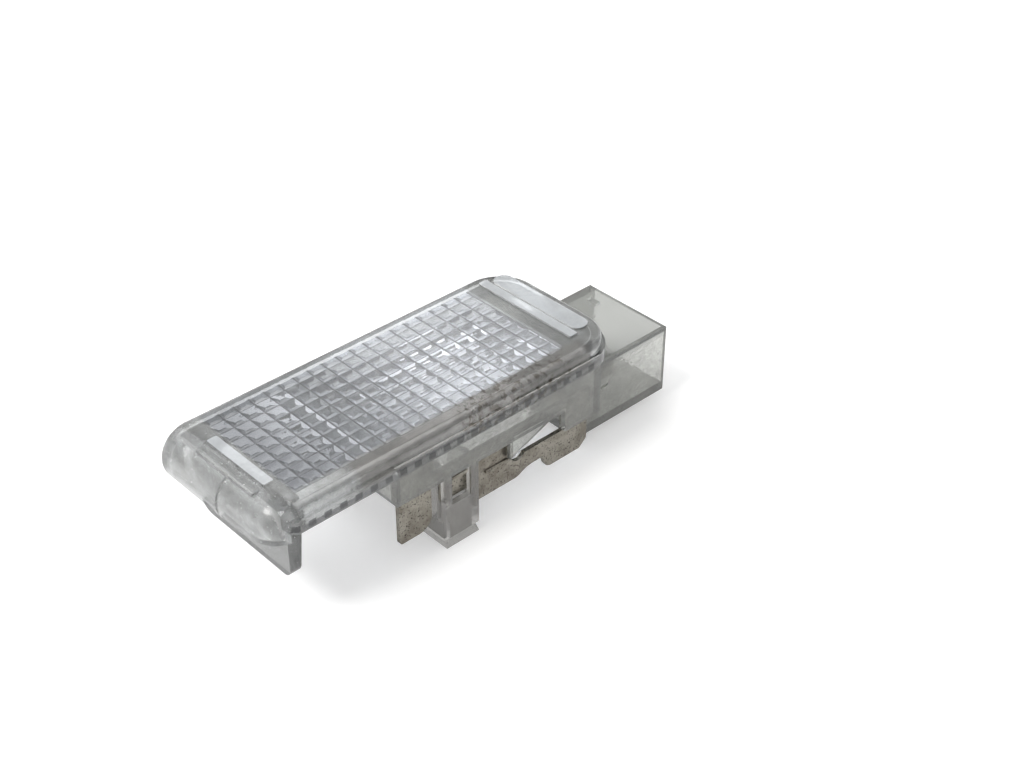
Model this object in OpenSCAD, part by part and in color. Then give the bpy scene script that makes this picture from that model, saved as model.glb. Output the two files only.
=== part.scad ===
// Snap-in courtesy light for a car interior: a clear prism lens on a clear
// housing, two sheet contacts, a wedge bulb and a two-way plug socket.
// X runs from the hooked nose to the socket, Z points out of the panel.
// The origin is the middle of the lens, on the plane where its rim meets the panel.

/* [Lens] */
// Length of the lens from nose to socket end
lens_l = 63; // [58:0.5:72]
// Width of the lens over its rim
lens_w = 26; // [24:0.5:32]
// Height of the lens face above the panel
lens_h = 3.9; // [3.6:0.1:6]
// Wall of the lens skirt
skirt_t = 1.6; // [1.2:0.1:2]
// Thickness of the clear face above the prisms
face_t = 1; // [0.8:0.1:1.4]
// Height of the proud rim
rim_h = 1.9; // [1.2:0.1:2.6]
// How far the rim stands out of the skirt
rim_proud = 0.4; // [0.2:0.1:0.8]
// Corner radius at the socket end
end_r = 6.5; // [4:0.5:9]
// Rounding of the face edge
edge_r = 1; // [0.6:0.1:1.4]

/* [Nose] */
// Radius of the rolled nose
nose_r = 4.5; // [3.6:0.1:5.5]
// How far the nose lip reaches below the panel face
lip_drop = 3.2; // [2:0.1:4]
// Reach of the hook plate below the panel face
hook_drop = 9.2; // [7:0.1:12]
// Thickness of the hook plate
hook_t = 2.4; // [1.6:0.1:3]
// Width of the hook plate
hook_w = 20.6; // [14:0.2:22]
// Width of the pry notch in the lip
pry_w = 2.6; // [1.5:0.1:4]
// How far the lip reaches below the panel face under the near corner
lip_near = 1.4; // [1:0.1:1.8]

/* [Face bars] */
// Height of the bars on the face
bar_h = 0.3; // [0.2:0.05:0.5]
// Width of the two bars at the nose
nose_bar_w = 1.6; // [1.2:0.1:1.7]
// Length of the two bars at the nose
nose_bar_run = 12.6; // [10:0.2:15]
// Width of the narrow bar at the socket end
thin_bar_w = 1.5; // [0.8:0.1:1.7]
// Width of the wide bar at the socket end
wide_bar_w = 3.1; // [2:0.1:3.3]
// Length of the bars at the socket end
end_bar_run = 18.6; // [14:0.2:19]

/* [Prisms] */
// Pitch of the prisms along the lens
prism_x = 2.5; // [2:0.1:3.2]
// Pitch of the prisms across the lens
prism_y = 2.35; // [2:0.05:3]
// Bulge of a prism
prism_d = 0.5; // [0.35:0.05:0.6]
// Plain length kept at the nose end
plain_nose = 6.3; // [6.3:0.1:10]
// Plain length kept at the socket end
plain_end = 8.8; // [8.6:0.1:11]
// Plain width kept along the near side
plain_near = 3.5; // [2.4:0.1:5]
// Plain width kept along the far side
plain_far = 1.3; // [1.3:0.1:4]

/* [Housing] */
// Depth of the rebate in the lens that takes the top of the housing
weld_d = 0.6; // [0.4:0.1:0.8]
// Wall of the housing
wall = 1; // [0.8:0.1:1.2]
// How far the housing stands inside the lens rim
inset = 1; // [0.8:0.1:1.2]
// Distance from the nose to the housing
housing_from = 20.7; // [18:0.1:24]
// Distance that the housing stops short of the lens end
housing_back = 3.5; // [2:0.1:6]
// Depth of the housing skirt
skirt_d = 5.7; // [5:0.1:7]
// Depth of the block that carries the socket
block_d = 9.3; // [8.6:0.1:10.4]
// Length of that block
block_l = 7.2; // [6.4:0.1:9]

/* [Socket] */
// Length of the plug socket
socket_l = 18.3; // [14:0.1:22]
// Width of the plug socket
socket_w = 16.5; // [14:0.1:19]
// Height of the plug socket
socket_h = 11.7; // [10:0.1:13]
// Depth of the socket roof below the panel face
socket_z = 4.3; // [4:0.1:5.4]
// Wall of the socket
socket_t = 1.1; // [0.9:0.1:1.4]

/* [Latch legs] */
// Width of a latch leg
leg_w = 6.1; // [5:0.1:7.5]
// Reach of a latch leg below the panel face
leg_d = 18.1; // [16:0.1:21]
// Depth of a latch leg towards the middle
leg_y = 6.2; // [4.5:0.1:6.4]
// Distance from the nose to a latch leg
leg_from = 29.2; // [28.9:0.1:31]

/* [Contacts] */
// Thickness of the contact sheet
sheet_t = 0.7; // [0.5:0.05:0.8]
// Clearance round a contact
gap = 0.1; // [0.05:0.05:0.2]
// Depth of the contact strips
strip_d = 13.7; // [12.6:0.1:15]
// Extra depth of the end tab of a strip
tab_more = 1.4; // [0.6:0.1:1.8]
// Length of the end tab of a strip
tab_l = 8.6; // [7.6:0.1:9.6]
// Width of the front tab of a strip
front_w = 5.8; // [5:0.1:6]
// Height of a contact blade
blade_h = 2.8; // [2:0.1:3.4]
// Distance between the blades
blade_pitch = 6.6; // [5:0.1:8]
// Length of a blade inside the socket
blade_l = 11; // [7:0.5:12]

/* [Bulb] */
// Diameter of the bulb glass
bulb_dia = 9.8; // [9:0.1:10.2]
// Length of the bulb over its wedge
bulb_l = 26; // [24:0.1:27]
// Length of the wedge
wedge_l = 6.5; // [5.5:0.1:7.5]
// Width of the wedge
wedge_w = 8.4; // [7.4:0.1:9]
// Thickness of the wedge
wedge_t = 2.2; // [1.8:0.1:2.6]
// Thickness of the bulb glass
glass_t = 0.6; // [0.4:0.05:0.8]
// Thickness of a lead wire
wire_dia = 0.5; // [0.4:0.05:0.6]
// Depth of the bulb axis below the panel face
bulb_z = 7.5; // [7:0.1:8]

/* [Hidden] */
$fn = 48;
eps = 0.01;
nose_x = -lens_l / 2;
end_x = lens_l / 2;
half_w = lens_w / 2;
body_w = half_w - rim_proud;
roll_x = nose_x + nose_r;
roll_z = lens_h - nose_r;
hook_x = nose_x + nose_r - 0.5;
lip_x = roll_x - 1.2;
box_x0 = nose_x + housing_from;
box_x1 = end_x - housing_back;
box_y = half_w - inset;
block_x = box_x1 - block_l;
socket_x = box_x1 + socket_l;
socket_mid = -socket_z - socket_h / 2;
strip_y = box_y - wall - gap;
leg_x = nose_x + leg_from;
wedge_x = box_x0 + wall + 1.1;
bulb_x = wedge_x + bulb_l;
shoulder_x = wedge_x + wedge_l;
tongue_x = wedge_x + 2;
glass_r = bulb_dia / 2;
wire_r = wire_dia / 2;
lead_z = 0.9;
nose_lift = 0.5;
land = 0.12;
prism_let = 0.3;
post_l = 9;
fold_l = wedge_l - 1;
bar_gap = 0.3;
bar_ease = 0.2;
bar_back = 0.9;
bar_shift = 0.9;
bar_from_end = 2.1;
notch_in = 3.2;
notch_h = 2.9;
nick_l = 1.5;
nick_w = 0.7;
nick_d = 1;
step_w = 0.35;
step_d = 0.25;
ledge_h = 1.3;
pocket_r = 1.4;
front_r = 2.4;
lug_w = 2.8;
rib_r = 0.28;
rib_l = 4.6;
tongue_drop = 4;
window_h = 5;
window_side = 1.2;
foot_cut = 1.2;
key_in = 3.4;
key_y = 3.7;
key_w = 2;
root_cut_l = 5.5;
root_cut_h = 0.5;
body_from = 4.5;
neck_in = 0.8;
strip_x0 = box_x0 + wall + 0.05;
strip_x1 = box_x1 - wall - 0.6;
x_front = strip_x0 + front_w;
clear = [0.86, 0.88, 0.88, 0.45];
clear_lens = [0.9, 0.92, 0.94, 0.4];
nickel = [0.55, 0.52, 0.46];

// A rounded rectangle in the XY plane, from x0 to x1, with its own radius at each end
module plan(x0, x1, half, r0, r1) {
    translate([x0, -half + r0]) square([r0, 2 * (half - r0)]);
    translate([x0 + r0, -half]) square([x1 - r1 - x0 - r0, 2 * half]);
    translate([x1 - r1 - eps, -half + r1]) square([r1 + eps, 2 * (half - r1)]);
    for (s = [-1, 1]) {
        translate([x0 + r0, s * (half - r0)]) circle(r0);
        translate([x1 - r1, s * (half - r1)]) circle(r1);
    }
}

// A plan with a square end at x0 and rounded corners at x1
module end_plan(x0, x1, half, r) {
    translate([x0, -half]) square([x1 - r - x0, 2 * half]);
    translate([x1 - r - eps, -half + r]) square([r + eps, 2 * (half - r)]);
    for (s = [-1, 1]) translate([x1 - r, s * (half - r)]) circle(r);
}

// The flat body of the lens: its plan drawn in by t, up to the height top, with a rounded face edge
module slab(t, top, edge) {
    x0 = roll_x - t;
    x1 = end_x - rim_proud - t;
    half = body_w - t;
    r = end_r - t;
    translate([0, 0, -0.5]) linear_extrude(top - edge + 0.5) end_plan(x0, x1, half, r);
    linear_extrude(top) end_plan(x0, x1 - edge, half - edge, r - edge);
    for (s = [-1, 1]) {
        translate([x0, s * (half - edge), top - edge]) rotate([0, 90, 0])
            cylinder(r = edge, h = x1 - r - x0);
        translate([x1 - r, s * (half - r), top - edge]) rotate([0, 0, s > 0 ? 0 : -90])
            rotate_extrude(angle = 90) translate([r - edge, 0]) circle(edge);
    }
    translate([x1 - edge, 0, top - edge]) rotate([90, 0, 0])
        cylinder(r = edge, h = 2 * (half - r), center = true);
}

// The rolled nose, drawn in by t: a rod across the lens, its far end eased, with a ball at the near corner
module nose(t, edge) {
    r = nose_r - t;
    ball_y = nose_r - body_w;
    end_y = body_w - t;
    translate([roll_x, 0, roll_z]) {
        translate([0, end_y - edge, 0]) rotate([90, 0, 0]) cylinder(r = r, h = end_y - edge - ball_y);
        translate([0, end_y, 0]) rotate([90, 0, 0]) cylinder(r = r - edge, h = 2 * edge);
        translate([0, end_y - edge, 0]) rotate([90, 0, 0])
            rotate_extrude() translate([r - edge, 0]) circle(edge);
        translate([0, ball_y, 0]) sphere(r);
    }
}

// Rounded flutes side by side, with a narrow land between them, which run along Y and bulge down
module flutes(count, pitch, run, bulge) {
    chord = pitch - land;
    r = (chord * chord / 4 + bulge * bulge) / (2 * bulge);
    rotate([90, 0, 0]) linear_extrude(run) {
        square([count * pitch, prism_let]);
        intersection() {
            translate([0, -bulge - 1]) square([count * pitch, bulge + 1 + eps]);
            for (i = [0 : count - 1]) translate([(i + 0.5) * pitch, r - bulge]) circle(r);
        }
    }
}

// The field of pillow prisms under the face: two sets of rounded flutes, crossed
module prisms() {
    rows = floor((lens_l - plain_nose - plain_end) / prism_x);
    cols = floor((lens_w - plain_near - plain_far) / prism_y);
    run_x = rows * prism_x;
    run_y = cols * prism_y;
    translate([nose_x + plain_nose, plain_near - half_w, lens_h - face_t - 0.05]) intersection() {
        translate([0, run_y, 0]) flutes(rows, prism_x, run_y, prism_d);
        rotate([0, 0, 90]) flutes(cols, prism_y, run_x, prism_d - 0.08);
    }
}

// A flat bar with eased corners standing on the face, from x0 over w, with its top at the height top
module face_bar(x0, w, run, r, top) {
    translate([x0, -run / 2, top - bar_h - nose_lift]) linear_extrude(bar_h + nose_lift) {
        translate([0, r]) square([w, run - 2 * r]);
        translate([r, 0]) square([w - 2 * r, run]);
        for (x = [r, w - r], y = [r, run - r]) translate([x, y]) circle(r);
    }
}

// The four bars: two on the roll of the nose, a narrow and a wide one at the socket end
module bars() {
    face_bar(roll_x - nose_bar_w - bar_back, nose_bar_w, nose_bar_run, bar_ease, lens_h - bar_h / 2);
    face_bar(roll_x - bar_back + bar_gap, nose_bar_w, nose_bar_run, bar_ease, lens_h + bar_h);
    wide_x = end_x - bar_from_end - wide_bar_w;
    translate([0, bar_shift, 0]) {
        face_bar(wide_x, wide_bar_w, end_bar_run, wide_bar_w / 2 - 0.1, lens_h + bar_h);
        face_bar(wide_x - bar_gap - thin_bar_w, thin_bar_w, end_bar_run + 1, bar_ease, lens_h + bar_h);
    }
}

// The hook plate under the nose, thinner towards its lower edge
module hook_plate() {
    near_r = 1.4;
    far_r = 3;
    top = lens_h - face_t;
    thin = hook_t - 0.8;
    intersection() {
        translate([hook_x, 0, 0]) rotate([90, 0, 90]) linear_extrude(hook_t) {
            translate([-hook_w / 2, -hook_drop + far_r]) square([hook_w, hook_drop - far_r + top]);
            translate([-hook_w / 2 + near_r, -hook_drop]) square([hook_w - near_r - far_r, far_r + eps]);
            translate([-hook_w / 2, -hook_drop + near_r]) square([near_r + eps, far_r - near_r + eps]);
            translate([-hook_w / 2 + near_r, -hook_drop + near_r]) circle(near_r);
            translate([hook_w / 2 - far_r, -hook_drop + far_r]) circle(far_r);
        }
        translate([0, half_w, 0]) rotate([90, 0, 0]) linear_extrude(lens_w)
            polygon([[hook_x - eps, -hook_drop - 1], [hook_x + thin, -hook_drop - 1],
                [hook_x + hook_t + eps, -lip_near], [hook_x + hook_t + eps, top + 1],
                [hook_x - eps, top + 1]]);
    }
}

// The lens without its prisms, drawn in by t
module shell(t, top, edge) {
    slab(t, top, edge);
    nose(t, edge);
}

// What is left of the lens from the side: the skirt ends on the panel, the nose lip reaches lower
module side_profile() {
    translate([0, half_w + 1, 0]) rotate([90, 0, 0]) linear_extrude(lens_w + 2)
        polygon([[nose_x - 1, -lip_drop], [lip_x, -lip_drop], [lip_x, 0], [end_x + 1, 0],
            [end_x + 1, lens_h + 1], [nose_x - 1, lens_h + 1]]);
}

// What the lip lacks, seen from the front: it is short under the near corner and longest at the far end
module lip_cut() {
    low = -lip_drop - 1;
    mid = 0.6 - lip_drop;
    translate([nose_x - 1, 0, 0]) rotate([90, 0, 90]) linear_extrude(lip_x + 0.3 - nose_x + 1)
        polygon([[-half_w - 1, low], [-half_w - 1, -lip_near], [-1.6, -lip_near], [-1, mid],
            [body_w - 2, mid], [body_w - 1.6, low]]);
}

// The pry notch in the lip, and the nick and the fine step that run up from it over the roll
module pry_notch() {
    translate([nose_x - 1, 0, -lip_drop - 1]) cube([notch_in, pry_w, notch_h]);
    translate([roll_x - nick_l - 0.1, -nick_w - 0.2, lens_h - nick_d]) cube([nick_l, nick_w, nick_d + 1]);
    translate([roll_x, -0.5, roll_z]) rotate([90, 0, 0]) difference() {
        cylinder(r = nose_r + 1, h = step_w);
        translate([0, 0, -1]) cylinder(r = nose_r - step_d, h = step_w + 2);
        translate([-0.4, -nose_r - 2, -1]) cube([nose_r + 3, 2 * nose_r + 4, step_w + 2]);
    }
}

module lens() {
    color(clear_lens) {
        difference() {
            intersection() {
                difference() {
                    union() {
                        shell(0, lens_h, edge_r);
                        linear_extrude(rim_h) plan(roll_x - 1, end_x, half_w, 1, end_r);
                    }
                    shell(skirt_t, lens_h - face_t, 0.2);
                }
                side_profile();
            }
            lip_cut();
            pry_notch();
            // the rebate that takes the top of the housing
            translate([box_x0 - gap / 2, -box_y - gap / 2, -1])
                cube([box_x1 - box_x0 + gap, 2 * box_y + gap, 1 + weld_d]);
        }
        prisms();
        hook_plate();
        bars();
    }
}

// One latch leg on the near side, with its window and the slot for the strip
module leg() {
    z_low = -leg_d;
    x0 = leg_x;
    difference() {
        translate([x0, -box_y, z_low]) cube([leg_w, leg_y, leg_d - skirt_d + wall]);
        translate([x0 + wall, -box_y + wall, z_low + wall])
            cube([leg_w - 2 * wall, leg_y, leg_d]);
        // room for the contact strip behind the front wall
        translate([x0 - eps, -box_y + wall, -strip_d - 2 * gap])
            cube([leg_w + 1, sheet_t + 2 * gap, strip_d]);
        // the window in the front wall
        translate([x0 + window_side, -box_y - 1, -skirt_d - window_h])
            cube([leg_w - 2 * window_side - 0.2, wall + 2, window_h]);
        // the chamfered foot
        translate([x0 - 1, -box_y, z_low]) rotate([45, 0, 0]) cube([leg_w + 2, foot_cut, foot_cut]);
    }
}

// The fork that holds the edge of the bulb wedge
module wedge_fork() {
    slot_y = wedge_t / 2 + wire_dia + gap;
    fork_y = slot_y + 1.3;
    difference() {
        translate([box_x0 + eps, -fork_y, 1 - bulb_z])
            cube([tongue_x - gap - box_x0, 2 * fork_y, bulb_z - 1.2]);
        translate([box_x0 + wall, -slot_y, -bulb_z]) cube([wedge_l, 2 * slot_y, wedge_w / 2 + gap]);
    }
}

// The tapered slot that a blade passes
module blade_slot(s) {
    translate([box_x1 - wall - 1, s * blade_pitch / 2 - sheet_t / 2 - gap, socket_mid - blade_h / 2 - gap])
        cube([wall + 3, sheet_t + 2 * gap, blade_h + 2 * gap]);
}

module housing() {
    color(clear) {
        difference() {
            union() {
                translate([box_x0, -box_y, -skirt_d]) cube([box_x1 - box_x0, 2 * box_y, skirt_d + weld_d]);
                translate([block_x, -box_y, -block_d]) cube([block_l, 2 * box_y, block_d]);
                translate([box_x1 - wall, -socket_w / 2, -socket_z - socket_h])
                    cube([wall, socket_w, socket_h]);
                translate([box_x1 - eps, 0, 0]) socket();
            }
            translate([box_x0 + wall, -box_y + wall, -block_d - 1])
                cube([box_x1 - box_x0 - 2 * wall, 2 * (box_y - wall), block_d + 3]);
            for (s = [-1, 1]) blade_slot(s);
        }
        leg();
        mirror([0, 1, 0]) leg();
        wedge_fork();
    }
}

// The rectangular plug socket, open towards +X
module socket() {
    difference() {
        translate([0, -socket_w / 2, -socket_z - socket_h]) cube([socket_l, socket_w, socket_h]);
        translate([-1, -socket_w / 2 + socket_t, -socket_z - socket_h + socket_t])
            cube([socket_l + 2, socket_w - 2 * socket_t, socket_h - 2 * socket_t]);
        // keyway near the mouth and the undercut at the root
        translate([socket_l - key_in, key_y, -socket_z - 2 * socket_t])
            cube([key_w / 2, key_w, 3 * socket_t]);
        translate([-1, -socket_w / 2 - 1, -socket_z - 4.9]) cube([root_cut_l + 1, 1.4, root_cut_h]);
    }
}

// Outline of the strip in the XZ plane: front tab, part behind the leg, middle with its
// curved lower edge, notch, and deeper end tab with a cut corner
module strip_outline() {
    low = -strip_d;
    tab_low = low - tab_more;
    x0 = strip_x0;
    x1 = strip_x1;
    corner_r = 0.5;
    mid_x = leg_x + leg_w - 0.5;
    tab_x = x1 - tab_l;
    rail_z = -skirt_d + 1.5;
    sill_z = low + 3.8;
    translate([x0, low + front_r]) square([front_w, strip_d - front_r - 0.8]);
    translate([x0 + corner_r, low]) square([front_w - corner_r - front_r, front_r + eps]);
    translate([x0, low + corner_r]) square([corner_r + eps, front_r - corner_r + eps]);
    translate([x0 + corner_r, low + corner_r]) circle(corner_r);
    translate([x0 + front_w - front_r, low + front_r]) circle(front_r);
    translate([x0 + front_w - eps, rail_z - ledge_h]) square([x1 - x0 - front_w, ledge_h]);
    translate([leg_x + 0.2, low + 3.4]) square([leg_w - 0.6, strip_d - 3.4 + rail_z]);
    difference() {
        polygon([[mid_x, low], [tab_x - 5.8, low], [tab_x - 5.2, low + 0.15], [tab_x - 4.4, low + 0.55],
            [tab_x - 3.6, low + 0.85], [tab_x - 2.6, low + 1], [tab_x - 0.8, low + 1],
            [tab_x - 0.4, low + 0.8], [tab_x, tab_low + 0.9], [tab_x + 0.4, tab_low + 0.3],
            [tab_x + 1.1, tab_low], [x1 - 1.4, tab_low], [x1, tab_low + 1.3], [x1, rail_z],
            [mid_x, rail_z]]);
        // the open window between the strip and the ledge, with its rounded pocket
        translate([tab_x - 5.6, sill_z]) square([tab_l + 0.6, rail_z - ledge_h - sill_z]);
        translate([tab_x - 6.8, sill_z + 0.4]) square([ledge_h, rail_z - ledge_h - 0.4 - sill_z]);
        translate([tab_x - 5.4, sill_z + 0.6]) circle(pocket_r);
    }
}

// A contact on the near side: strip with its rib and lug, tongue to the bulb, fold and blade
module contact() {
    tongue_y = wedge_t / 2 + wire_dia;
    tongue_w = x_front - tongue_x - 0.1;
    blade_y = blade_pitch / 2;
    lug_x = leg_x + wall + 0.4;
    translate([0, -strip_y + sheet_t, 0]) rotate([90, 0, 0]) linear_extrude(sheet_t) strip_outline();
    translate([leg_x + leg_w + 2.2, -strip_y, -strip_d + 4.4]) rotate([0, 90, 0])
        cylinder(r = rib_r, h = rib_l);
    translate([lug_x, wall + gap - box_y, -skirt_d - 0.8]) cube([lug_w, sheet_t, 0.6]);
    translate([lug_x, 0.1 - box_y, -skirt_d - 0.8]) cube([lug_w, wall + sheet_t, 0.5]);
    translate([tongue_x, -strip_y, -bulb_z + 1.6 - sheet_t]) cube([tongue_w, strip_y - tongue_y, sheet_t]);
    translate([tongue_x, -tongue_y - sheet_t, -bulb_z + 1.6 - tongue_drop])
        cube([tongue_w, sheet_t, tongue_drop]);
    translate([strip_x1 - sheet_t, -strip_y, socket_mid - blade_h / 2])
        cube([sheet_t, strip_y - blade_y + sheet_t / 2, blade_h]);
    translate([strip_x1 - sheet_t, -blade_y - sheet_t / 2, socket_mid - blade_h / 2])
        cube([box_x1 + blade_l - strip_x1 + sheet_t, sheet_t, blade_h]);
}

module near_contact() {
    color(nickel) contact();
}

module far_contact() {
    color(nickel) mirror([0, 1, 0]) contact();
}

// The outline of the bulb, turned about X, drawn in by t
module bulb_turn(t) {
    r = glass_r - t;
    neck = wedge_w / 2 - neck_in - t;
    body_x = shoulder_x + body_from;
    translate([0, 0, -bulb_z]) rotate([0, 90, 0]) {
        translate([0, 0, body_x]) cylinder(r = r, h = bulb_x - glass_r - body_x);
        translate([0, 0, shoulder_x + t]) cylinder(r1 = neck, r2 = r, h = body_x - shoulder_x - t);
        translate([0, 0, bulb_x - glass_r]) sphere(r);
    }
}

module bulb_glass() {
    color([0.95, 0.96, 0.96, 0.3]) difference() {
        union() {
            bulb_turn(0);
            translate([wedge_x, -wedge_t / 2, -bulb_z - wedge_w / 2]) cube([wedge_l + 1, wedge_t, wedge_w]);
        }
        bulb_turn(glass_t);
        for (s = [-1, 1]) translate([wedge_x - 1, 0, -bulb_z + s * lead_z]) rotate([0, 90, 0])
            cylinder(r = wire_r, h = wedge_l + 4);
    }
}

// A straight piece of wire between two points, with round ends
module wire(a, b) {
    d = b - a;
    len = norm(d);
    translate(a) rotate([0, acos(d[2] / len), atan2(d[1], d[0])]) cylinder(r = wire_r, h = len, $fn = 20);
    translate(a) sphere(wire_r, $fn = 20);
    translate(b) sphere(wire_r, $fn = 20);
}

// One lead: inner post, way through the wedge, and the end folded back over its face
module lead(s) {
    z = -bulb_z + s * lead_z;
    y = s * (wedge_t / 2 + wire_r);
    back = wedge_x - 0.45;
    wire([shoulder_x + post_l, 0, z], [back, 0, z]);
    wire([back, 0, z], [back, y, z]);
    wire([back, y, z], [wedge_x + fold_l, y, z]);
}

module bulb_lead_near() {
    color([0.7, 0.7, 0.68]) lead(-1);
}

module bulb_lead_far() {
    color([0.7, 0.7, 0.68]) lead(1);
}

module bulb_filament() {
    color([0.35, 0.35, 0.38]) translate([shoulder_x + post_l + wire_r, 0, -bulb_z - lead_z])
        cylinder(r = 0.2, h = 2 * lead_z, $fn = 20);
}

lens();
housing();
near_contact();
far_contact();
bulb_glass();
bulb_filament();
bulb_lead_near();
bulb_lead_far();
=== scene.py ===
import math

import bpy
from mathutils import Matrix, Vector


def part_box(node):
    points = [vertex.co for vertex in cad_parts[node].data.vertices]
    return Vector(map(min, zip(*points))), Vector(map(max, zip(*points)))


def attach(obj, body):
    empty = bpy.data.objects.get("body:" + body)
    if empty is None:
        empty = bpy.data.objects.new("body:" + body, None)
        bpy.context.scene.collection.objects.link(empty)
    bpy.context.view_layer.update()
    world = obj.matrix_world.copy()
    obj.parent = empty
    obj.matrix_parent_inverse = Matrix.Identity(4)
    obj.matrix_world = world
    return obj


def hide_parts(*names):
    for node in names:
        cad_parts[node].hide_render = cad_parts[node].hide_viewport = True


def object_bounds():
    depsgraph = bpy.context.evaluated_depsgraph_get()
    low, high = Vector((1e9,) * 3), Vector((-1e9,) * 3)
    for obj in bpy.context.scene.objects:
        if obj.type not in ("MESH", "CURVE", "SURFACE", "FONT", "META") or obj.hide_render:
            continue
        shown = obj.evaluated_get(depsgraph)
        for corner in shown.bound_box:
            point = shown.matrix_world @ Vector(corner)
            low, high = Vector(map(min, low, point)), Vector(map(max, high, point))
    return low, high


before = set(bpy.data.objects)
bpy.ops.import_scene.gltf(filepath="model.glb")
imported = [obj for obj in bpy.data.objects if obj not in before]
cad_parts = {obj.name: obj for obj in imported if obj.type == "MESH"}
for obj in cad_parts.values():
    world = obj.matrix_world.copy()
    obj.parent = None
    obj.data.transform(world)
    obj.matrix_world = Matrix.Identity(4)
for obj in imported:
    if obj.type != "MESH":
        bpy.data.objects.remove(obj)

cad_low, cad_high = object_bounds()
MM = 0.001


# The camera of the photograph, solved from the outline of the lens and of the
# socket. It looks down along the near side, from the hooked nose to the socket.
eye = Vector((-114.37, -144.55, 134.86)) * MM
back = Vector((-0.5564, -0.5923, 0.5827)).normalized()
right = Vector((0.7288, -0.6847, 0.0)).normalized()
up = back.cross(right)
roll = math.radians(0.15)
right, up = (right * math.cos(roll) + up * math.sin(roll),
             up * math.cos(roll) - right * math.sin(roll))
camera = bpy.data.objects.new("camera", bpy.data.cameras.new("camera"))
camera.matrix_world = Matrix((
    (right.x, up.x, back.x, eye.x),
    (right.y, up.y, back.y, eye.y),
    (right.z, up.z, back.z, eye.z),
    (0, 0, 0, 1)))
camera.data.sensor_width = 36.0
camera.data.lens = 57.35
camera.data.clip_start = 0.01
bpy.context.scene.collection.objects.link(camera)
bpy.context.scene.camera = camera
bpy.context.scene.view_settings.view_transform = "Standard"


# The sheet of white card that the lamp stands on. It runs far past the view, so
# that the picture is white to its edges and keeps the lamp's own soft shadow.
def feed(tree, socket, value):
    if isinstance(value, bpy.types.NodeSocket):
        tree.links.new(value, socket)
    else:
        socket.default_value = value


def worked_out(tree, operation, *values):
    step = tree.nodes.new("ShaderNodeMath")
    step.operation = operation
    for socket, value in zip(step.inputs, values):
        feed(tree, socket, value)
    return step.outputs[0]


# 1 for the camera, for a reflection and for a look through the plastic, else 0
def seen_white(tree):
    path = tree.nodes.new("ShaderNodeLightPath").outputs
    looked_at = worked_out(tree, "MAXIMUM", path["Is Camera Ray"], path["Is Glossy Ray"])
    return worked_out(tree, "MAXIMUM", looked_at, path["Is Transmission Ray"])


card_width = 1.6
card_white = (0.88, 0.88, 0.88, 1)
card_lift = 0.38
bpy.ops.object.select_all(action="DESELECT")
bpy.ops.mesh.primitive_plane_add(size=card_width, location=(0, 0, cad_low.z))
card = bpy.context.active_object
card.name = "white_card"
bpy.ops.object.transform_apply(location=True, rotation=True, scale=True)
card_paint = bpy.data.materials.new("white_card")
card_paint.use_nodes = True
tree = card_paint.node_tree
tree.nodes.clear()
matt = tree.nodes.new("ShaderNodeBsdfDiffuse")
matt.inputs["Color"].default_value = card_white
glow = tree.nodes.new("ShaderNodeEmission")
feed(tree, glow.inputs["Strength"], worked_out(tree, "MULTIPLY", seen_white(tree), card_lift))
both = tree.nodes.new("ShaderNodeAddShader")
card_out = tree.nodes.new("ShaderNodeOutputMaterial")
tree.links.new(matt.outputs[0], both.inputs[0])
tree.links.new(glow.outputs[0], both.inputs[1])
tree.links.new(both.outputs[0], card_out.inputs["Surface"])
card.data.materials.append(card_paint)


# The light of a room with one large window: a wide soft lamp from behind the far
# side, a smaller one above on the left, and walls that are bright above and
# dimmer lower down. Where they are seen, the walls are white.
def soft_lamp(name, place, width, height, power, warmth):
    lamp = bpy.data.lights.new(name, "AREA")
    lamp.shape = "RECTANGLE"
    lamp.size, lamp.size_y = width, height
    lamp.energy = power
    lamp.color = warmth
    lamp_object = bpy.data.objects.new(name, lamp)
    lamp_object.location = place
    lamp_object.rotation_euler = (-Vector(place)).to_track_quat("-Z", "Y").to_euler()
    bpy.context.scene.collection.objects.link(lamp_object)


# two tones and the values at which each is reached
def toned(tree, value, low_at, low, high_at, high):
    ramp = tree.nodes.new("ShaderNodeValToRGB")
    ends = ramp.color_ramp.elements
    ends[0].position, ends[0].color = low_at, low
    ends[1].position, ends[1].color = high_at, high
    tree.links.new(value, ramp.inputs["Fac"])
    return ramp.outputs["Color"]


soft_lamp("window", place=(-0.22, 0.42, 0.48), width=0.55, height=0.40,
          power=1.8, warmth=(0.97, 0.98, 1.0))
soft_lamp("lamp_above", place=(-0.38, 0.04, 0.50), width=0.24, height=0.24,
          power=2.8, warmth=(1.0, 0.99, 0.975))
wall_strength = 0.75
wall_low, wall_high = (0.42, 0.42, 0.43, 1), (0.80, 0.80, 0.80, 1)
room = bpy.data.worlds.new("room")
room.use_nodes = True
bpy.context.scene.world = room
tree = room.node_tree
tree.nodes.clear()
direction = tree.nodes.new("ShaderNodeSeparateXYZ")
tree.links.new(tree.nodes.new("ShaderNodeTexCoord").outputs["Generated"], direction.inputs[0])
walls = tree.nodes.new("ShaderNodeBackground")
walls.inputs["Strength"].default_value = wall_strength
feed(tree, walls.inputs["Color"],
     toned(tree, direction.outputs["Z"], low_at=0.0, low=wall_low, high_at=0.8, high=wall_high))
white_wall = tree.nodes.new("ShaderNodeBackground")
white_wall.inputs["Color"].default_value = (1, 1, 1, 1)
swap = tree.nodes.new("ShaderNodeMixShader")
room_out = tree.nodes.new("ShaderNodeOutputWorld")
tree.links.new(seen_white(tree), swap.inputs["Fac"])
tree.links.new(walls.outputs[0], swap.inputs[1])
tree.links.new(white_wall.outputs[0], swap.inputs[2])
tree.links.new(swap.outputs[0], room_out.inputs["Surface"])


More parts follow.
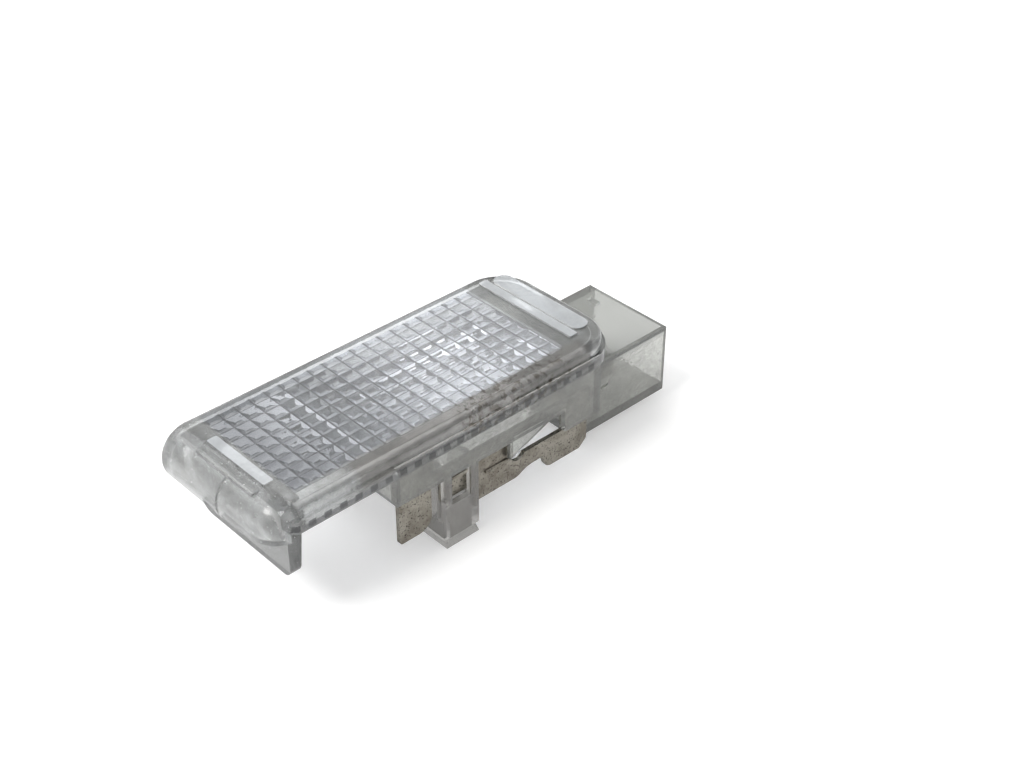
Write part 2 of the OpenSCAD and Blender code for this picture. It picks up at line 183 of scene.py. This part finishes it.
# The lens: one clear moulding with the prisms under its face. Its skin has the
# faint ripple of the mould, a little dust, and the smears and fine rubbing of use.
# It is fixed on the top edge of the housing.
def noise(tree, where, scale, detail, roughness=0.5, distortion=0.0):
    grain = tree.nodes.new("ShaderNodeTexNoise")
    grain.inputs["Detail"].default_value = detail
    grain.inputs["Roughness"].default_value = roughness
    grain.inputs["Distortion"].default_value = distortion
    feed(tree, grain.inputs["Scale"], scale)
    tree.links.new(where, grain.inputs["Vector"])
    return grain.outputs["Fac"]


def ranged(tree, value, from_min=0.0, from_max=1.0, to_min=0.0, to_max=1.0):
    step = tree.nodes.new("ShaderNodeMapRange")
    tree.links.new(value, step.inputs["Value"])
    feed(tree, step.inputs["From Min"], from_min)
    feed(tree, step.inputs["From Max"], from_max)
    feed(tree, step.inputs["To Min"], to_min)
    feed(tree, step.inputs["To Max"], to_max)
    return step.outputs["Result"]


def painted(tree, under, colour, amount):
    coat = tree.nodes.new("ShaderNodeMix")
    coat.data_type = "RGBA"
    feed(tree, coat.inputs["A"], under)
    feed(tree, coat.inputs["B"], colour)
    tree.links.new(amount, coat.inputs["Factor"])
    return coat.outputs["Result"]


def place_on(tree):
    return tree.nodes.new("ShaderNodeTexCoord").outputs["Object"]


def moulded_skin():
    dust_grey = (0.60, 0.60, 0.57, 1)
    smear_grey = (0.27, 0.265, 0.25, 1)
    peel_grey = (0.25, 0.25, 0.24, 1)
    peel_depth = 0.3
    group = bpy.data.node_groups.new("moulded_skin", "ShaderNodeTree")
    for name, kind, value in (
            ("Tint", "NodeSocketColor", (0.9, 0.92, 0.92, 1)),
            ("Gloss loss", "NodeSocketFloat", 0.04),
            ("Ripple size", "NodeSocketFloat", 220.0),
            ("Dust", "NodeSocketFloat", 0.3),
            ("Smears", "NodeSocketFloat", 0.4),
            ("Peel", "NodeSocketFloat", 0.34)):
        socket = group.interface.new_socket(name=name, in_out="INPUT", socket_type=kind)
        socket.default_value = value
    for name, kind in (("Color", "NodeSocketColor"), ("Roughness", "NodeSocketFloat"),
                       ("Height", "NodeSocketFloat")):
        group.interface.new_socket(name=name, in_out="OUTPUT", socket_type=kind)
    given = group.nodes.new("NodeGroupInput").outputs
    out = group.nodes.new("NodeGroupOutput").inputs
    where = place_on(group)
    ripple = noise(group, where, scale=given["Ripple size"], detail=1.0)
    specks = noise(group, where, scale=2600.0, detail=4.0)
    specks = ranged(group, specks, from_min=0.62, from_max=0.78)
    dust = worked_out(group, "MULTIPLY", specks, given["Dust"])
    tone = painted(group, given["Tint"], dust_grey, dust)
    cloud = noise(group, where, scale=230.0, detail=6.0, roughness=0.6, distortion=0.8)
    cloud = ranged(group, cloud, from_min=0.45, from_max=0.62)
    tone = painted(group, tone, smear_grey, worked_out(group, "MULTIPLY", cloud, given["Smears"]))
    sand = noise(group, where, scale=2200.0, detail=3.0)
    peel = ranged(group, sand, from_min=0.38, from_max=0.62, to_max=given["Peel"])
    feed(group, out["Color"], painted(group, tone, peel_grey, peel))
    feed(group, out["Roughness"], worked_out(group, "ADD", given["Gloss loss"], dust))
    shallow = worked_out(group, "MULTIPLY", peel, peel_depth)
    feed(group, out["Height"], worked_out(group, "ADD", ripple, shallow))
    return group


def clear_plastic(name, tint, clearness, gloss_loss, ripple_size, dust, smears, peel, bump):
    material = bpy.data.materials.new(name)
    material.use_nodes = True
    nodes, links = material.node_tree.nodes, material.node_tree.links
    shader = nodes["Principled BSDF"]
    shader.inputs["Transmission Weight"].default_value = clearness
    shader.inputs["Metallic"].default_value = 0.0
    shader.inputs["IOR"].default_value = 1.5
    skin = nodes.new("ShaderNodeGroup")
    skin.node_tree = skin_group
    skin.inputs["Tint"].default_value = tint
    skin.inputs["Gloss loss"].default_value = gloss_loss
    skin.inputs["Ripple size"].default_value = ripple_size
    skin.inputs["Dust"].default_value = dust
    skin.inputs["Smears"].default_value = smears
    skin.inputs["Peel"].default_value = peel
    relief = nodes.new("ShaderNodeBump")
    relief.inputs["Strength"].default_value = bump
    relief.inputs["Distance"].default_value = 0.2 * MM
    links.new(skin.outputs["Color"], shader.inputs["Base Color"])
    links.new(skin.outputs["Roughness"], shader.inputs["Roughness"])
    links.new(skin.outputs["Height"], relief.inputs["Height"])
    links.new(relief.outputs["Normal"], shader.inputs["Normal"])
    return material


def spot_on(tree):
    split = tree.nodes.new("ShaderNodeSeparateXYZ")
    tree.links.new(place_on(tree), split.inputs[0])
    return split.outputs


# a part of the piece: its middle and its half width in millimetres, along each axis
def part_of(tree, spot, **spans):
    mask = None
    for axis, (middle, half) in spans.items():
        within = worked_out(tree, "COMPARE", spot[axis], middle * MM, half * MM)
        mask = within if mask is None else worked_out(tree, "MULTIPLY", mask, within)
    return mask


# lines of one half width at every pitch from a start, in millimetres
def lines_along(tree, spot, axis, start, pitch, half):
    counted = worked_out(tree, "SUBTRACT", spot[axis], start * MM)
    nearest = worked_out(tree, "PINGPONG", counted, pitch * MM / 2)
    return worked_out(tree, "LESS_THAN", nearest, half * MM)


def give(node, material):
    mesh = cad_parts[node].data
    mesh.materials.clear()
    mesh.materials.append(material)


skin_group = moulded_skin()
lens_clear = clear_plastic(
    "lens_clear", tint=(0.58, 0.595, 0.595, 1), clearness=0.85, gloss_loss=0.03,
    ripple_size=260.0, dust=0.08, smears=0.45, peel=0.34, bump=0.25)
tree = lens_clear.node_tree
shader, skin = tree.nodes["Principled BSDF"], tree.nodes["Group"]
spot = spot_on(tree)

# the prism field: painted shade over the nose, painted light over the reflector, and dark painted
# shade in its grooves
shaded_cell_paint, lit_cell_paint = (0.20, 0.21, 0.225, 1), (0.90, 0.93, 0.98, 1)
groove_shade_across, groove_shade_lengthwise = (0.03, 0.03, 0.03, 1), (0.05, 0.05, 0.055, 1)
cells_from, cell_length, cells_side, cell_width = -25.2, 2.5, -9.5, 2.35
field_plan = {"X": (-1.45, 23.75), "Y": (1.075, 10.575)}
field = part_of(tree, spot, **field_plan, Z=(4.0, 2.0))
valleys = part_of(tree, spot, **field_plan, Z=(2.6, 0.4))
# painted light: the cells grow brighter and bluer from the nose toward the socket
painted_light_share = ranged(tree, spot["X"], from_min=-22.0 * MM, from_max=4.0 * MM, to_min=0.12)
tone = painted(tree, skin.outputs["Color"], shaded_cell_paint, field)
tone = painted(tree, tone, lit_cell_paint, worked_out(tree, "MULTIPLY", field, painted_light_share))
# painted shade: dark lines down the grooves, across and along the cells
across = lines_along(tree, spot, "X", cells_from, cell_length, half=0.12)
tone = painted(tree, tone, groove_shade_across, worked_out(tree, "MULTIPLY", valleys, across))
lengthwise = lines_along(tree, spot, "Y", cells_side, cell_width, half=0.06)
tone = painted(tree, tone, groove_shade_lengthwise, worked_out(tree, "MULTIPLY", valleys, lengthwise))

# the bars with a painted white reflection on their tops, the near border with painted shade and
# its dirt, painted reflections of the prisms as dark marks along the rim, and painted shade on
# the hook
bar_reflection_white, border_shade_grey = (1.0, 1.0, 1.0, 1), (0.42, 0.41, 0.395, 1)
prism_reflection_black, dirt_brown = (0.06, 0.06, 0.065, 1), (0.12, 0.10, 0.08, 1)
hook_shade_grey = (0.30, 0.305, 0.30, 1)
# painted reflection: the tops of the bars made white
bar_tops = part_of(tree, spot, Z=(5.0, 0.95))
tone = painted(tree, tone, bar_reflection_white, bar_tops)
# painted shade: the near border darkened where the housing's skirt shows through
near_border = part_of(tree, spot, X=(4.0, 21.0), Y=(-11.4, 1.7), Z=(3.0, 1.5))
tone = painted(tree, tone, border_shade_grey, near_border)
# painted reflection: dark dashes along the rim's near face, one for each row of prisms
rim = part_of(tree, spot, Y=(-13.1, 0.8), Z=(0.8, 0.5))
prism_reflection_marks = lines_along(tree, spot, "X", cells_from, cell_length, half=0.6)
tone = painted(tree, tone, prism_reflection_black, worked_out(tree, "MULTIPLY", rim, prism_reflection_marks))
dirty = part_of(tree, spot, X=(11.0, 10.0), Y=(-11.4, 1.7))
dirt = noise(tree, place_on(tree), scale=1000.0, detail=6.0)
dirt = ranged(tree, dirt, from_min=0.54, from_max=0.58)
tone = painted(tree, tone, dirt_brown, worked_out(tree, "MULTIPLY", dirt, dirty))
# painted shade: the hook under the nose made darker
hook = part_of(tree, spot, X=(-27.0, 2.0), Z=(-6.0, 4.0))
tone = painted(tree, tone, hook_shade_grey, hook)
feed(tree, shader.inputs["Base Color"], tone)

# the polish: full over the field, less outside it, least on the worn nose
border_haze, nose_haze = 0.13, 0.08
nose = part_of(tree, spot, X=(-30.0, 4.2))
haze = worked_out(tree, "MULTIPLY_ADD", field, -border_haze, border_haze)
haze = worked_out(tree, "ADD", haze, skin.outputs["Roughness"])
haze = worked_out(tree, "MULTIPLY_ADD", nose, nose_haze, haze)
feed(tree, shader.inputs["Roughness"], haze)
give("lens", lens_clear)

# a painted white reflection on top of the bars, as a pale second material on their level faces
bar_top_level, level_enough = 4.15, 0.9
bar_reflection_paint = clear_plastic(
    "bar_reflection_paint", tint=(0.88, 0.92, 0.96, 1), clearness=0.62, gloss_loss=0.14,
    ripple_size=420.0, dust=0.1, smears=0.15, peel=0.08, bump=0.4)
lens_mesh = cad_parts["lens"].data
lens_mesh.materials.append(bar_reflection_paint)
for face in lens_mesh.polygons:
    if face.center.z / MM > bar_top_level and face.normal.z > level_enough:
        face.material_index = 1


# The housing: a second clear moulding, a touch greyer, which carries the plug
# socket, the latch legs and the fork for the bulb.
housing_clear = clear_plastic(
    "housing_clear", tint=(0.69, 0.70, 0.665, 1), clearness=0.80, gloss_loss=0.09,
    ripple_size=180.0, dust=0.08, smears=0.38, peel=0.34, bump=0.35)
tree = housing_clear.node_tree
spot = spot_on(tree)
# painted shade: the latch legs darker than the rest, and their feet darker still against the
# bright floor seen through them
leg_shade_grey, foot_shade_grey = (0.50, 0.49, 0.47, 1), (0.30, 0.295, 0.28, 1)
roof_shade_grey = (0.44, 0.45, 0.43, 1)
legs = part_of(tree, spot, X=(0.0, 9.0), Z=(-13.0, 6.5))
tone = painted(tree, tree.nodes["Group"].outputs["Color"], leg_shade_grey, legs)
feet = part_of(tree, spot, X=(0.0, 9.0), Z=(-18.0, 1.0))
tone = painted(tree, tone, foot_shade_grey, feet)
# painted shade: the roof of the socket darker than its sides
socket_roof = part_of(tree, spot, X=(40.0, 8.0), Z=(-4.8, 0.9))
tone = painted(tree, tone, roof_shade_grey, socket_roof)
feed(tree, tree.nodes["Principled BSDF"].inputs["Base Color"], tone)
give("housing", housing_clear)


# The web under each long wall of the housing: a thin clear tongue of the same
# moulding. It closes part of the window in the contact and runs out to a point.
def wall_web(name, side):
    start, end, drop, thick = 10.0 * MM, 19.0 * MM, 3.2 * MM, 0.8 * MM
    wall_y, wall_foot, sunk = 11.5 * MM, -5.7 * MM, 0.3 * MM
    point_back, point_up = 2.4 * MM, drop * 0.78
    edge = 0.15 * MM
    bpy.ops.object.select_all(action="DESELECT")
    bpy.ops.mesh.primitive_cube_add(size=1)
    web = bpy.context.active_object
    web.name = name
    web.dimensions = (end - start, thick, drop + sunk)
    web.location = ((start + end) / 2, side * wall_y, wall_foot + sunk - (drop + sunk) / 2)
    bpy.ops.object.transform_apply(location=True, rotation=True, scale=True)
    bpy.ops.object.mode_set(mode="EDIT")
    bpy.ops.mesh.select_all(action="DESELECT")
    bpy.ops.object.mode_set(mode="OBJECT")
    for corner in web.data.vertices:
        corner.select = corner.co.x > end - thick and corner.co.z < wall_foot
    bpy.ops.object.mode_set(mode="EDIT")
    bpy.ops.transform.translate(value=(-point_back, 0, point_up))
    bpy.ops.mesh.select_all(action="SELECT")
    bpy.ops.mesh.bevel(offset=edge, segments=2)
    bpy.ops.mesh.normals_make_consistent(inside=False)
    bpy.ops.object.mode_set(mode="OBJECT")
    web.data.materials.append(housing_clear)
    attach(web, "root")


wall_web("near_web", -1)
wall_web("far_web", 1)


# The two contacts: tinned sheet, stamped and folded, and held in slots of the
# housing. The tin has dulled to a brownish grey, with dark specks and smears.
def dulled_tin():
    brown_tin, grey_tin = (0.16, 0.145, 0.12, 1), (0.27, 0.255, 0.22, 1)
    speck_black = (0.05, 0.045, 0.04, 1)
    material = bpy.data.materials.new("dulled_tin")
    material.use_nodes = True
    tree = material.node_tree
    shader = tree.nodes["Principled BSDF"]
    shader.inputs["Metallic"].default_value = 1.0
    where = place_on(tree)
    cloud = noise(tree, where, scale=420.0, detail=8.0, roughness=0.65)
    tone = toned(tree, cloud, low_at=0.38, low=brown_tin, high_at=0.60, high=grey_tin)
    specks = noise(tree, where, scale=3600.0, detail=3.0)
    specks = ranged(tree, specks, from_min=0.58, from_max=0.63)
    feed(tree, shader.inputs["Base Color"], painted(tree, tone, speck_black, specks))
    feed(tree, shader.inputs["Roughness"], ranged(tree, cloud, to_min=0.26, to_max=0.5))
    relief = tree.nodes.new("ShaderNodeBump")
    relief.inputs["Strength"].default_value = 0.3
    relief.inputs["Distance"].default_value = 0.1 * MM
    tree.links.new(cloud, relief.inputs["Height"])
    tree.links.new(relief.outputs["Normal"], shader.inputs["Normal"])
    return material


tin = dulled_tin()
give("near_contact", tin)
give("far_contact", tin)


# The bulb: a small capsule of blown glass. Its base is pinched flat to a wedge,
# which the fork of the housing holds.
bulb_clear = clear_plastic(
    "bulb_clear", tint=(0.97, 0.975, 0.975, 1), clearness=1.0, gloss_loss=0.01,
    ripple_size=300.0, dust=0.1, smears=0.05, peel=0.03, bump=0.1)
give("bulb_glass", bulb_clear)


# The two lead wires: drawn nickel wire, melted into the wedge and folded back
# over its faces, where the tongues of the contacts touch them.
def wire_metal(name, colour, roughness):
    darker = 0.6
    rougher = 0.2
    material = bpy.data.materials.new(name)
    material.use_nodes = True
    tree = material.node_tree
    shader = tree.nodes["Principled BSDF"]
    shader.inputs["Metallic"].default_value = 1.0
    drawn = noise(tree, place_on(tree), scale=900.0, detail=2.0)
    shade = (colour[0] * darker, colour[1] * darker, colour[2] * darker, 1)
    feed(tree, shader.inputs["Base Color"], painted(tree, colour, shade, drawn))
    feed(tree, shader.inputs["Roughness"],
         ranged(tree, drawn, to_min=roughness, to_max=roughness + rougher))
    return material


lead_wire = wire_metal("lead_wire", colour=(0.72, 0.71, 0.68, 1), roughness=0.2)
give("bulb_lead_near", lead_wire)
give("bulb_lead_far", lead_wire)


# The filament: fine tungsten wire, wound to a coil and hung between the two
# leads, to which its ends are welded.
coil_low, coil_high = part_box("bulb_filament")
coil_middle = (coil_low + coil_high) / 2
coil_turns, turn_steps = 9, 14
coil_radius, wire_radius = 0.145 * MM, 0.055 * MM
bpy.ops.object.select_all(action="DESELECT")
bpy.ops.mesh.primitive_circle_add(vertices=8, radius=wire_radius, rotation=(math.pi / 2, 0, 0))
coil = bpy.context.active_object
coil.name = "filament_coil"
bpy.ops.object.transform_apply(location=False, rotation=True, scale=False)
bpy.ops.object.mode_set(mode="EDIT")
bpy.ops.mesh.select_all(action="SELECT")
bpy.ops.transform.translate(value=(coil_radius, 0, 0))
bpy.ops.object.mode_set(mode="OBJECT")
wind = coil.modifiers.new("wind", "SCREW")
wind.axis = "Z"
wind.steps = wind.render_steps = turn_steps
wind.iterations = coil_turns
wind.screw_offset = (coil_high.z - coil_low.z - 2 * wire_radius) / coil_turns
bpy.ops.object.modifier_apply(modifier="wind")
bpy.ops.object.mode_set(mode="EDIT")
bpy.ops.mesh.select_all(action="SELECT")
bpy.ops.mesh.fill_holes(sides=0)
bpy.ops.mesh.normals_make_consistent(inside=False)
bpy.ops.object.mode_set(mode="OBJECT")
coil.location = (coil_middle.x, coil_middle.y, coil_low.z + wire_radius)
bpy.ops.object.transform_apply(location=True, rotation=True, scale=True)
coil.data.materials.append(wire_metal("tungsten", colour=(0.30, 0.30, 0.33, 1), roughness=0.35))
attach(coil, "root")
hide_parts("bulb_filament")
